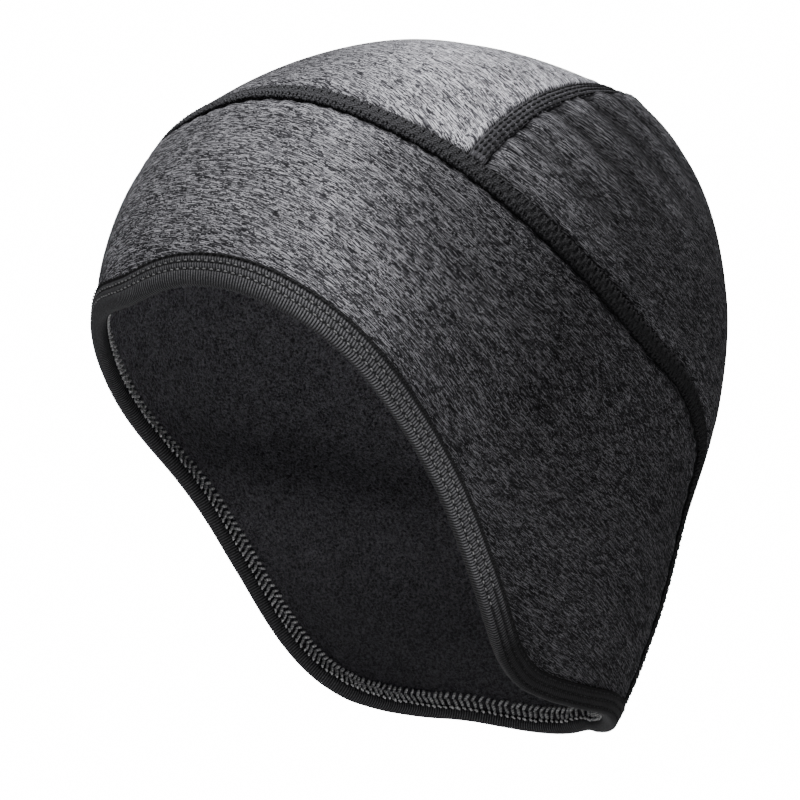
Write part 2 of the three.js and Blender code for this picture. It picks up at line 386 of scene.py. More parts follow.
def grid_quads(rows, columns, ring_rows=False, ring_columns=False):
    """Corner numbers of a grid's quads, and the same as row and column for the cloth layout."""
    i = np.arange(rows if ring_rows else rows - 1)[:, None]
    j = np.arange(columns if ring_columns else columns - 1)[None, :]
    corners = [(i, j), (i, j + 1), (i + 1, j + 1), (i + 1, j)]
    shape = np.broadcast(i, j).shape
    rows_at = np.stack([np.broadcast_to(a, shape) for a, _ in corners], -1).reshape(-1, 4)
    cols_at = np.stack([np.broadcast_to(b, shape) for _, b in corners], -1).reshape(-1, 4)
    numbers = (rows_at % rows) * columns + cols_at % columns
    return numbers, rows_at, cols_at


def outward_order(vertices, faces):
    """True where the faces already point out of their closed body."""
    a, b, c = (vertices[faces[:, k]] for k in range(3))
    d = vertices[faces[:, 3]]
    volume = np.einsum("ij,ij->i", a, np.cross(b, c)) + np.einsum("ij,ij->i", a, np.cross(c, d))
    return volume.sum() > 0


def closed_sheet(name, outside, inside, u, v, material, ring_columns=False, pale=None):
    """A closed body between two layers of points, with cloth coordinates in metres."""
    rows, columns = outside.shape[:2]
    points = np.concatenate([outside, inside[::-1]])
    numbers, rows_at, cols_at = grid_quads(len(points), columns, True, ring_columns)
    u_full = np.concatenate([u, 2 * u[:, -1:] - u[:, -2:-1]], axis=1)
    v_full = np.concatenate([v, v[:, -1:]], axis=1)
    back = np.round(np.linspace(rows - 1, 0, len(inside))).astype(int)
    loop = np.concatenate([np.arange(rows), back, [0]])
    corner_uvs = np.stack([u_full[loop[rows_at], cols_at], v_full[loop[rows_at], cols_at]], -1)
    faces = [numbers]
    uvs = [corner_uvs]
    if not ring_columns:
        i = np.arange(rows - 1)
        for column, flip in ((0, False), (columns - 1, True)):
            ring = np.stack([i, i + 1, 2 * rows - 2 - i, 2 * rows - 1 - i], -1)
            side = ring * columns + column
            side_uv = np.stack([u[loop[ring], column], v[loop[ring], column]], -1)
            faces.append(side[:, ::-1] if flip else side)
            uvs.append(side_uv[:, ::-1] if flip else side_uv)
    faces = np.concatenate(faces)
    uvs = np.concatenate(uvs)
    vertices = to_frame(points.reshape(-1, 3))
    if not outward_order(vertices, faces):
        faces = faces[:, ::-1]
        uvs = uvs[:, ::-1]
    if pale is not None:
        pale = pale[loop[:-1]].ravel()
    return add_object(name, vertices, faces.tolist(), uvs.reshape(-1, 2) * MM, material, pale)


def thread_body(name, paths, outward, radii, sides, material, pale=None):
    """Threads of round section along paths; each path is a row of points in millimetres."""
    count, length = paths.shape[:2]
    along = unit(np.gradient(paths, axis=1))
    sideways = unit(np.cross(along, outward))
    rise = np.cross(sideways, along)
    turn = np.arange(sides) * 2 * np.pi / sides
    radii = np.broadcast_to(np.asarray(radii, float), (count, length))
    ring = sideways[:, :, None] * np.cos(turn)[:, None] + rise[:, :, None] * np.sin(turn)[:, None]
    points = paths[:, :, None] + ring * radii[:, :, None, None]
    numbers, rows_at, cols_at = grid_quads(length, sides, False, True)
    block = length * sides
    shift = np.arange(count)[:, None, None] * block
    faces = (numbers[None] + shift).reshape(-1, 4)
    run = np.concatenate(
        [np.zeros((count, 1)), np.cumsum(np.linalg.norm(np.diff(paths, axis=1), axis=2), axis=1)],
        axis=1,
    )
    start = np.arange(count)[:, None] * 3.7
    u = (run + start)[:, rows_at]
    v = np.broadcast_to(cols_at / sides, u.shape)
    uvs = np.stack([u, v], -1).reshape(-1, 2)
    ends = []
    for k in range(count):
        ends.append([k * block + j for j in range(sides)][::-1])
        ends.append([k * block + block - sides + j for j in range(sides)])
    vertices = to_frame(points.reshape(-1, 3))
    if not outward_order(vertices[:block] - vertices[:block].mean(0), numbers):
        faces = faces[:, ::-1]
        uvs = uvs.reshape(-1, 4, 2)[:, ::-1].reshape(-1, 2)
        ends = [end[::-1] for end in ends]
    end_uvs = np.zeros((2 * count * sides, 2))
    corner_uvs = np.concatenate([uvs, end_uvs]) * MM
    shown = None if pale is None else by_degrees(points.reshape(-1, 3), pale)
    return add_object(name, vertices, faces.tolist() + ends, corner_uvs, material, shown)


# Shader building

# Layers of fibres in the heather: lean, shares of the fibre's length and width, shift of the pattern
FIBRE_LAYERS = (
    (0.0, 1.0, 0.95, 3.1),
    (0.05, 0.42, 0.84, 17.7),
    (-0.05, 0.16, 1.06, 41.3),
    (0.1, 0.6, 0.9, 63.7),
)

# How few fibres are bright, how far rows of them are shifted, and turns of a thread's plies in radians
# for each millimetre
FIBRE_CONTRAST = 7.0
ROW_SHIFT = 17.0
THREAD_TWIST = 9.0


def socket_group(name, inputs, outputs):
    group = bpy.data.node_groups.new(name, "ShaderNodeTree")
    for label, kind, value in inputs:
        socket = group.interface.new_socket(label, in_out="INPUT", socket_type=kind)
        if value is not None:
            socket.default_value = value
    for label, kind in outputs:
        group.interface.new_socket(label, in_out="OUTPUT", socket_type=kind)
    entry = group.nodes.new("NodeGroupInput")
    leave = group.nodes.new("NodeGroupOutput")
    return group, entry, leave


class Wiring:
    """Short ways to place and join nodes in one tree."""

    def __init__(self, tree):
        self.tree = tree

    def node(self, kind, **settings):
        node = self.tree.nodes.new(kind)
        for key, value in settings.items():
            setattr(node, key, value)
        return node

    def join(self, source, target):
        self.tree.links.new(source, target)

    def feed(self, socket, value):
        if isinstance(value, bpy.types.NodeSocket):
            self.join(value, socket)
        else:
            socket.default_value = value

    def math(self, operation, a, b=None, clamp=False):
        node = self.node("ShaderNodeMath", operation=operation, use_clamp=clamp)
        self.feed(node.inputs[0], a)
        if b is not None:
            self.feed(node.inputs[1], b)
        return node.outputs[0]

    def noise(self, vector, scale, detail=2.0, roughness=0.5, distortion=0.0):
        node = self.node("ShaderNodeTexNoise", noise_dimensions="3D")
        self.join(vector, node.inputs["Vector"])
        node.inputs["Scale"].default_value = scale
        node.inputs["Detail"].default_value = detail
        node.inputs["Roughness"].default_value = roughness
        node.inputs["Distortion"].default_value = distortion
        return node.outputs["Fac"]

    def combine(self, x, y, z=0.0):
        node = self.node("ShaderNodeCombineXYZ")
        for socket, value in zip(node.inputs, (x, y, z)):
            self.feed(socket, value)
        return node.outputs[0]

    def separate(self, vector):
        node = self.node("ShaderNodeSeparateXYZ")
        self.join(vector, node.inputs[0])
        return node.outputs[0], node.outputs[1], node.outputs[2]

    def window(self, value, low, high, out_low=0.0, out_high=1.0):
        node = self.node("ShaderNodeMapRange", interpolation_type="SMOOTHSTEP")
        self.feed(node.inputs["Value"], value)
        for label, number in (
            ("From Min", low),
            ("From Max", high),
            ("To Min", out_low),
            ("To Max", out_high),
        ):
            self.feed(node.inputs[label], number)
        return node.outputs[0]

    def blend(self, share, first, second):
        node = self.node("ShaderNodeMix", data_type="RGBA")
        self.feed(node.inputs[0], share)
        self.feed(node.inputs[6], first)
        self.feed(node.inputs[7], second)
        return node.outputs[2]


def fibre_cells(w, x, y, length, width, slide):
    """Light fibres as long narrow cells laid in rows, each of its own brightness."""
    over = w.math("DIVIDE", y, width)
    row = w.math("FLOOR", over)
    shift = w.node("ShaderNodeTexWhiteNoise", noise_dimensions="2D")
    w.join(w.combine(row, slide), shift.inputs["Vector"])
    along = w.math("ADD", w.math("DIVIDE", x, length), w.math("MULTIPLY", shift.outputs["Value"], ROW_SHIFT))
    cell = w.math("FLOOR", along)
    pick = w.node("ShaderNodeTexWhiteNoise", noise_dimensions="3D")
    w.join(w.combine(cell, row, slide), pick.inputs["Vector"])
    aside = w.math("ABSOLUTE", w.math("SUBTRACT", w.math("FRACT", over), 0.5))
    from_end = w.math("ABSOLUTE", w.math("SUBTRACT", w.math("FRACT", along), 0.5))
    body = w.math("MULTIPLY", w.window(aside, 0.5, 0.2), w.window(from_end, 0.5, 0.3))
    return w.math("MULTIPLY", body, w.math("POWER", pick.outputs["Value"], FIBRE_CONTRAST))


def heather_group():
    """Light fibres lying along the grain over a dark ground; all lengths in millimetres."""
    group, entry, leave = socket_group(
        "Heather fibres",
        [
            ("Cloth", "NodeSocketVector", None),
            ("Place", "NodeSocketVector", None),
            ("Fibre length", "NodeSocketFloat", 3.6),
            ("Fibre width", "NodeSocketFloat", 0.23),
            ("Wander", "NodeSocketFloat", 0.35),
        ],
        [("Fibres", "NodeSocketFloat"), ("Tone", "NodeSocketFloat"), ("Height", "NodeSocketFloat")],
    )
    w = Wiring(group)
    place = entry.outputs["Place"]
    x, y, _ = w.separate(entry.outputs["Cloth"])
    swell = w.math("SUBTRACT", w.noise(place, 0.16, 2.0), 0.5)
    y = w.math("ADD", y, w.math("MULTIPLY", swell, w.math("MULTIPLY", entry.outputs["Wander"], 2.0)))
    fibres = None
    for lean, longer, wider, slide in FIBRE_LAYERS:
        leaned = w.math("ADD", y, w.math("MULTIPLY", x, lean))
        length = w.math("MULTIPLY", entry.outputs["Fibre length"], longer)
        width = w.math("MULTIPLY", entry.outputs["Fibre width"], wider)
        cells = fibre_cells(w, x, leaned, length, width, slide)
        fibres = cells if fibres is None else w.math("MAXIMUM", fibres, cells)
    grain = w.noise(place, 2.3, 2.0, 0.75)
    patches = w.noise(place, 0.14, 3.0, 0.6)
    tone = w.math("ADD", w.math("MULTIPLY", patches, 0.4), w.math("MULTIPLY", grain, 0.6))
    fibres = w.math("MULTIPLY", fibres, w.window(tone, 0.34, 0.62, 0.78, 1.2), clamp=True)
    height = w.math("ADD", w.math("MULTIPLY", fibres, 0.7), w.math("MULTIPLY", grain, 0.4))
    w.join(fibres, leave.inputs["Fibres"])
    w.join(tone, leave.inputs["Tone"])
    w.join(height, leave.inputs["Height"])
    return group


def pile_group():
    """Fine mottled pile, for fleece and fuzzy thread."""
    group, entry, leave = socket_group(
        "Fine pile",
        [("Cloth", "NodeSocketVector", None), ("Tuft size", "NodeSocketFloat", 0.5)],
        [("Tufts", "NodeSocketFloat"), ("Height", "NodeSocketFloat")],
    )
    w = Wiring(group)
    scaled = w.node("ShaderNodeVectorMath", operation="SCALE")
    w.join(entry.outputs["Cloth"], scaled.inputs[0])
    w.join(w.math("DIVIDE", 1.0, entry.outputs["Tuft size"]), scaled.inputs["Scale"])
    vector = scaled.outputs[0]
    fine = w.noise(vector, 1.0, 3.0, 0.65, 0.6)
    broad = w.noise(vector, 0.22, 2.0, 0.55)
    tufts = w.math("ADD", w.math("MULTIPLY", fine, 0.85), w.math("MULTIPLY", broad, 0.15))
    w.join(w.window(tufts, 0.33, 0.68), leave.inputs["Tufts"])
    w.join(fine, leave.inputs["Height"])
    return group


def in_millimetres(w, vector):
    scaled = w.node("ShaderNodeVectorMath", operation="SCALE")
    w.join(vector, scaled.inputs[0])
    scaled.inputs["Scale"].default_value = 1 / MM
    return scaled.outputs[0]


def place_on_cap(w):
    """Place on the cap, for patterns that have no direction."""
    return in_millimetres(w, w.node("ShaderNodeTexCoord").outputs["Object"])


def place_in_cloth(w):
    """Place along and across the grain, or along and around a thread."""
    return in_millimetres(w, w.node("ShaderNodeUVMap", uv_map="cloth").outputs[0])


# Reads the per-point share that holds the cloth's paleness together with painted light and shade.
def paleness_and_painted_light(w):
    return w.node("ShaderNodeAttribute", attribute_name="paleness_and_painted_light").outputs["Fac"]


def cloth_material(name, roughness, specular):
    """A new material, the wiring of its nodes, and its shader."""
    material = bpy.data.materials.new(name)
    material.use_nodes = True
    shader = material.node_tree.nodes["Principled BSDF"]
    shader.inputs["Roughness"].default_value = roughness
    shader.inputs["Specular IOR Level"].default_value = specular
    return material, Wiring(material.node_tree), shader


def place_group(w, group, **inputs):
    node = w.node("ShaderNodeGroup", node_tree=group)
    for label, value in inputs.items():
        w.feed(node.inputs[label.replace("_", " ").capitalize()], value)
    return node


def bump(w, shader, height, depth):
    node = w.node("ShaderNodeBump")
    node.inputs["Distance"].default_value = depth * MM
    node.inputs["Strength"].default_value = 1.0
    w.feed(node.inputs["Height"], height)
    w.join(node.outputs[0], shader.inputs["Normal"])


def heather_material(name, dark, light, ground):
    """Brushed heather knit: light fibres over a dark ground that varies in patches."""
    material, w, shader = cloth_material(name, 1.0, 0.04)
    heather = place_group(w, effect("heather"), cloth=place_in_cloth(w), place=place_on_cap(w))
    base = w.blend(w.window(heather.outputs["Tone"], 0.3, 0.7), (*dark, 1), (*ground, 1))
    colour = w.blend(heather.outputs["Fibres"], base, (*light, 1))
    # Scaled by the paleness attribute, which holds painted light and shade besides the cloth's own paleness.
    w.join(w.blend(paleness_and_painted_light(w), (0, 0, 0, 1), colour), shader.inputs["Base Color"])
    bump(w, shader, heather.outputs["Height"], 0.2)
    return material


def fleece_material(name, dark, light):
    """Near-black brushed fleece."""
    material, w, shader = cloth_material(name, 1.0, 0.05)
    pile = place_group(w, effect("pile"), cloth=place_on_cap(w), tuft_size=0.8)
    # The tufts are dimmed by the paleness attribute, which holds painted shade.
    tufts = w.math("MULTIPLY", pile.outputs["Tufts"], paleness_and_painted_light(w))
    w.join(w.blend(tufts, (*dark, 1), (*light, 1)), shader.inputs["Base Color"])
    bump(w, shader, pile.outputs["Height"], 0.5)
    return material


def thread_material(name, dark, light):
    """Spun thread with the slanted ridges of its plies."""
    material, w, shader = cloth_material(name, 0.8, 0.15)
    cloth = place_in_cloth(w)
    along, around, _ = w.separate(cloth)
    twist = w.math("MULTIPLY", along, THREAD_TWIST)
    turns = w.math("ADD", twist, w.math("MULTIPLY", around, 2 * math.pi))
    plies = w.math("ADD", w.math("MULTIPLY", w.math("SINE", turns), 0.5), 0.5)
    pile = place_group(w, effect("pile"), cloth=cloth, tuft_size=0.25)
    # The paleness attribute on seam and needle threads holds painted light and shade.
    fuzz = w.math("MULTIPLY", paleness_and_painted_light(w), w.math("ADD", pile.outputs["Tufts"], 0.35))
    share = w.math("MULTIPLY", plies, fuzz, clamp=True)
    w.join(w.blend(share, (*dark, 1), (*light, 1)), shader.inputs["Base Color"])
    bump(w, shader, w.math("ADD", plies, pile.outputs["Height"]), 0.05)
    return material


def binding_material(name, dark, light):
    """Stretch binding: painted light on the tops of its ribs and painted shade in its grooves, which stay
    near black.
    """
    material, w, shader = cloth_material(name, 0.9, 0.12)
    pile = place_group(w, effect("pile"), cloth=place_on_cap(w), tuft_size=0.35)
    lint_and_light = w.window(pile.outputs["Tufts"], 0.0, 1.0, 0.55, 1.2)
    share = w.math("MULTIPLY", paleness_and_painted_light(w), lint_and_light, clamp=True)
    w.join(w.blend(share, (*dark, 1), (*light, 1)), shader.inputs["Base Color"])
    bump(w, shader, pile.outputs["Height"], 0.12)
    return material


EFFECTS = {}


def effect(name):
    if name not in EFFECTS:
        EFFECTS[name] = {"heather": heather_group, "pile": pile_group}[name]()
    return EFFECTS[name]


# Cloth pieces


def edge_roll(distance):
    """Depth of a panel's face near its seam: it rolls down and swells a little behind."""
    return 0.34 * np.exp(-((distance / 0.8) ** 2)) - 0.28 * np.exp(-(((distance - 3.4) / 2.2) ** 2))


def seam_pucker(run, distance, height, seed):
    """Small tucks that the stitching draws into the panel's edge."""
    tucks = np.sin(2 * np.pi * run / 6.3 + 1.6 * waves(run / 9, run * 0, seed))
    return height * tucks * np.exp(-((distance / 7.0) ** 2))


def panel_from(name, top, bottom, rows, relief, grain, pale, material, relief_shade_share=0.4):
    """Knit panel ruled between two lines, with relief(run, from_top, from_bottom) in mm.

    Raised places are painted paler and hollows painted darker, by the given share for each millimetre:
    painted light and shade of the relief. Near the seams the edges are darkened, a painted shadow line.
    """
    even = np.linspace(0, 1, rows)[:, None, None]
    share = even - 0.7 * np.sin(2 * np.pi * even) / (2 * np.pi)
    places = on_form(top[None] * (1 - share) + bottom[None] * share)
    shown = by_degrees(places, pale)
    step_u = np.linalg.norm(np.diff(places, axis=1), axis=2).mean(0)
    step_v = np.linalg.norm(np.diff(places, axis=0), axis=2)
    u = np.broadcast_to(np.concatenate([[0], np.cumsum(step_u)]), places.shape[:2])
    v = np.concatenate([np.zeros((1, places.shape[1])), np.cumsum(step_v, axis=0)])
    from_top = v
    from_bottom = v[-1:] - v
    height = relief(u, from_top, from_bottom)
    outside = under(places, -height)
    inside = under(places, KNIT)
    along, across = grain_layout(places, grain)
    # Painted light and shade of the relief: raised places paler, hollows darker, and a painted shadow line
    # along the edges at the seams.
    painted_light_and_shade = 1 + relief_shade_share * np.clip(height - height.mean(), -1.2, 1.4)
    painted_light_and_shade = painted_light_and_shade * (1 - 0.55 * np.exp(-((np.minimum(from_top, from_bottom) / 0.55) ** 2)))
    return closed_sheet(name, outside, inside, along, across, material, pale=shown * painted_light_and_shade)


def band_knit(sizes, material):
    """Band over the forehead, temples, ear covers and the sides of the nape."""
    columns, rows = 330, 68
    clear = OUTER_LEG + 0.1
    top_run = np.linspace(clear, long_seam.length - clear, columns)
    side = SIDE_OF_LONG_SEAM
    bottom_run = np.linspace(SEAM_FEET[0] + side, SEAM_FEET[1] - side, columns)
    top = long_seam.beside(top_run, -side)
    bottom = rim.beside(bottom_run, FOLD_DROP)

    def relief(u, from_top, from_bottom):
        calm = 0.35 * waves(u / 21, from_top / 17, 5)
        tucks = seam_pucker(u, from_top, sizes.seam_pucker / MM, 11)
        return calm + tucks - edge_roll(from_top) - 0.2 * np.exp(-((from_bottom / 9) ** 2))

    return panel_from("band_knit", top, bottom, rows, relief, BAND_GRAIN, BAND_PALE, material)


def crown_front_knit(sizes, material):
    """Crown panel between the long seam over the forehead and the cross seam."""
    columns, rows = 190, 74
    side, gap = SIDE_OF_LONG_SEAM, SIDE_OF_CROSS_SEAM
    fore_run = np.linspace(JUNCTIONS[0] + gap, JUNCTIONS[1] - gap, columns)
    aft_run = np.linspace(side, cross_seam.length - side, columns)
    top = cross_seam.beside(aft_run, -gap)
    bottom = long_seam.beside(fore_run, side)

    def relief(u, from_top, from_bottom):
        calm = 0.3 * waves(u / 19, from_top / 23, 8)
        tucks = seam_pucker(u, from_bottom, 0.7 * sizes.seam_pucker / MM, 12)
        return calm + tucks - edge_roll(from_top) - edge_roll(from_bottom)

    return panel_from("crown_front_knit", top, bottom, rows, relief, CROWN_GRAIN, CROWN_PALE, material)


def crown_rear_knit(sizes, material):
    """Rear crown panel, gathered into the cross seam."""
    columns, rows = 300, 96
    side, gap = SIDE_OF_LONG_SEAM, SIDE_OF_CROSS_SEAM
    aft_run = np.linspace(side, cross_seam.length - side, columns)
    top = cross_seam.beside(aft_run, gap)
    down = long_seam.beside(np.linspace(JUNCTIONS[0] - gap, FOLD_DROP, 200), side)
    up = long_seam.beside(np.linspace(long_seam.length - FOLD_DROP, JUNCTIONS[1] + gap, 200), side)
    foot = SEAM_FEET[0] - side
    nape = rim.beside(np.linspace(foot, -foot, 80)[1:-1], FOLD_DROP)
    edge = Route(np.concatenate([down, nape, up]), False)
    bottom = edge.at(np.linspace(0, edge.length, columns))
    height = sizes.gather_height / MM

    def relief(u, from_top, from_bottom):
        share = np.linspace(0, 1, columns)[None, :]
        lean = 0.0019 * from_top * np.tanh(8 * (share - 0.5))
        uneven = share + lean + 0.011 * waves(share * 40, from_top / 60, 21)
        ridge = 0.5 - 0.5 * np.cos(2 * np.pi * GATHER_COUNT * uneven)
        reach_here = GATHER_REACH * (1 + 0.45 * waves(share * 50, share * 0, 4))
        die = np.exp(-((from_top / reach_here) ** 2))
        gathers = height * (ridge**0.6 - 0.35) * die * np.sin(np.pi * share) ** 0.5
        fine = 0.5 * np.sin(2 * np.pi * 57 * uneven) * np.exp(-((from_top / 5) ** 2))
        calm = 0.5 * waves(u / 15, from_top / 26, 9) * (1 - die)
        tucks = seam_pucker(share * edge.length, from_bottom, sizes.seam_pucker / MM, 13)
        return gathers + fine + calm + tucks - edge_roll(from_top) - edge_roll(from_bottom)

    # Deeper painted shade in the valleys of the gathers, painted light on their ridges.
    return panel_from(
        "crown_rear_knit", top, bottom, rows, relief, REAR_GRAIN, REAR_PALE, material, relief_shade_share=0.6
    )


# How pale the fleece is by height over the head's centre in millimetres, fitted to the photo's tones:
# painted shade that darkens the lining towards its lower edge
FLEECE_PALE = np.array([(-90, 0.25), (-60, 0.32), (-15, 0.85), (10, 1.0), (120, 1.0)])


def fleece_lining(material):
    """Lining from the crown down to inside the binding's fold."""
    columns, rows = 300, 84
    run = np.linspace(0, rim.length, columns, endpoint=False)
    edge = rim.beside(run, FOLD_DROP)
    crown = np.array([0.0, 0.0, 1.0])
    way = unit(edge)
    angle = np.arccos(np.clip(way[:, 2], -1, 1))
    aside = unit(way - way[:, 2:] * crown)
    share = np.linspace(0.004, 1, rows)[:, None]
    turn = share * angle[None]
    places = np.cos(turn)[..., None] * crown + np.sin(turn)[..., None] * aside[None]
    places = on_form(places)
    v = np.linalg.norm(np.diff(places, axis=0), axis=2)
    v = np.concatenate([np.zeros((1, columns)), np.cumsum(v, axis=0)])
    u = np.broadcast_to(run, v.shape)
    calm = 0.22 * waves(places[..., 0] / 9, places[..., 2] / 11 + places[..., 1] / 13, 31)
    inside = under(places, HEAD_DEPTH - np.minimum(calm, 0.25))
    outside = under(places, LINING_DEPTH)
    # Painted shade, darker towards the lower edge of the lining.
    pale = np.interp(places[..., 2], *FLEECE_PALE.T)
    return closed_sheet("fleece_lining", outside, inside, u, v, material, True, pale)


def seam_strip(name, route, start, width, step, relief, material):
    """Strip along a seam that ends the same length short of both ends of its route."""
    end = route.length - start
    run = np.linspace(start, end, int((end - start) / step))
    offsets = np.linspace(-width / 2, width / 2, 15)[:, None]
    place, across = route.stations(run)
    points = on_form(place[None] + across[None] * offsets[..., None])
    height = relief(run[None], offsets)
    outside = under(points, -height)
    inside = under(points, KNIT)
    u = np.broadcast_to(run, points.shape[:2])
    v = np.broadcast_to(offsets, points.shape[:2])
    return closed_sheet(name, outside, inside, u, v, material)


# Millimetres from a seam's ends at the rim to where its strip and threads end, under the binding
LONG_SEAM_END = FOLD_DROP + BINDING

# Cover threads of the long seam: lag as a share of a loop, reach to each side, height over the knit
COVER_THREADS = (
    (0.0, 2.3, 0.42),
    (0.33, 1.9, 0.4),
    (0.66, 2.3, 0.42),
    (0.5, 1.3, 0.55),
    (0.12, 0.8, 0.6),
)
STEPS_IN_LOOP = 10

# Rows of stitches on the cross seam, in millimetres from its middle
CROSS_ROWS = (-1.75, -0.55, 0.65, 1.85)


def long_seam_base(material):
    def relief(run, across):
        half = LONG_SEAM_WIDTH / 2
        dome = 0.15 * (1 - (across / half) ** 2)
        beads = 0.12 * np.sin(2 * np.pi * run / 2.4) * np.cos(2 * np.pi * across / 2.2)
        return dome + beads - 0.15 * (np.abs(across) / half) ** 8

    return seam_strip(
        "long_seam_base", long_seam, LONG_SEAM_END, LONG_SEAM_WIDTH, 0.6, relief, material
    )


def long_seam_threads(sizes, material):
    """Cover threads looped to and fro across the long seam."""
    pitch = sizes.cover_pitch / MM
    radius = 1.35 * sizes.thread_radius / MM
    run = np.arange(LONG_SEAM_END, long_seam.length - LONG_SEAM_END, pitch / STEPS_IN_LOOP)
    pieces = []
    for k, (phase, reach, lift) in enumerate(COVER_THREADS):
        turn = 2 * np.pi * (run / pitch + phase)
        slack = 0.25 * waves(run / 1.9, run * 0, 40 + k)
        dip = 0.24 * np.sin(2 * turn + 1.3 * k)
        height = lift + dip + 0.06 * waves(run / 1.3, run * 0, 60 + k)
        base = long_seam.beside(run, (reach + slack) * np.sin(turn))
        outward = outward_at(base)
        path = base + outward * height[:, None]
        name = f"long_seam_thread_{k + 1}"
        pieces.append(thread_body(name, path[None], outward[None], radius, 5, material, SEAM_PALE))
    return pieces


def stitches(route, start, end, pitch, length, offset, sink, lift, jitter, seed):
    """Short stitches in a row: each dips into the cloth at both ends."""
    picks = np.random.default_rng(seed)
    count = int((end - start) / pitch)
    middles = start + (np.arange(count) + 0.5) * pitch
    middles = middles + picks.uniform(-0.06, 0.06, count) * pitch
    t = np.linspace(-0.5, 0.5, 6)
    run = middles[:, None] + t[None] * length
    aside = offset + picks.uniform(-jitter, jitter, (count, 1)) + 0 * t[None]
    base = route.beside(run, aside)
    outward = outward_at(base)
    arch = sink + (lift - sink) * (1 - (2 * t) ** 2)
    return base + outward * arch[None, :, None], outward


def cross_seam_base(material):
    def relief(run, across):
        half = CROSS_SEAM_WIDTH / 2
        dome = 0.5 * (1 - (across / half) ** 2)
        channels = sum(np.exp(-(((across - row) / 0.28) ** 2)) for row in CROSS_ROWS)
        tucks = 0.12 * np.sin(2 * np.pi * run / 3.1) * (across / half)
        return dome - 0.34 * channels + tucks - 0.3 * (np.abs(across) / half) ** 8

    return seam_strip(
        "cross_seam_base", cross_seam, SIDE_OF_LONG_SEAM, CROSS_SEAM_WIDTH, 0.7, relief, material
    )


def cross_seam_stitches(sizes, material):
    pieces = []
    start, end = SIDE_OF_LONG_SEAM, cross_seam.length - SIDE_OF_LONG_SEAM
    for k, row in enumerate(CROSS_ROWS):
        lift = 0.5 * (1 - (row / 2.5) ** 2) + 0.08
        path, outward = stitches(
            cross_seam, start, end, 2.0, 1.5, row, lift - 0.45, lift, 0.08, 70 + k
        )
        radii = 1.3 * sizes.thread_radius / MM * np.array([0.55, 0.95, 1.0, 1.0, 0.95, 0.55])
        pieces.append(thread_body(f"cross_seam_stitches_{k + 1}", path, outward, radii, 6, material))
    return pieces


# By degrees around: share of the rib height, paleness of the rib tops and of the needle thread, both fitted
# to the photo's tones and holding painted light and shade besides the cloth's colour, share of the outer
# leg's reach, and depth of the fold in millimetres
RIB_HEIGHT = np.array([(0, 0.5), (20, 0.6), (38, 1.0), (80, 1.0), (100, 0.45), (180, 0.4)])
RIB_PALE = np.array([(0, 0.5), (22, 0.55), (38, 1.0), (76, 0.9), (92, 0.12), (180, 0.1)])
NEEDLE_PALE = np.array([(0, 0.25), (26, 0.35), (42, 1.0), (180, 1.0)])
LEG_REACH = np.array([(0, 0.88), (25, 0.9), (50, 1.0)])
FOLD_DEPTH = np.array([(0, 3.3), (30, 3.3), (45, 2.3), (60, 1.3), (180, 1.3)])

# Points along the rim for each rib, and degrees around up to which the needle thread is grey; behind that
# its two grey rows are drawn black as painted shade
STEPS_IN_RIB = 4
GREY_TO = 84


def binding_profile():
    """Section of the binding from outer to inner leg: height, depth, and how far it is folded."""
    middle = (HEAD_DEPTH + PROUD_INSIDE - PROUD_OUTSIDE) / 2
    half = (HEAD_DEPTH + PROUD_INSIDE + PROUD_OUTSIDE) / 2
    rows = [(FOLD_DROP + height, -PROUD_OUTSIDE, 0.0) for height in np.linspace(OUTER_LEG, 0.4, 16)]
    for angle in np.radians(np.linspace(-90, 90, 7)):
        rows.append((FOLD_DROP, middle + half * math.sin(angle), math.cos(angle)))
    inner = HEAD_DEPTH + PROUD_INSIDE
    rows += [(FOLD_DROP + height, inner, 0.0) for height in np.linspace(0.5, INNER_LEG, 3)]
    height, depth, folded = np.array(rows).T
    return height, depth, folded, (depth - middle) / half, middle, half


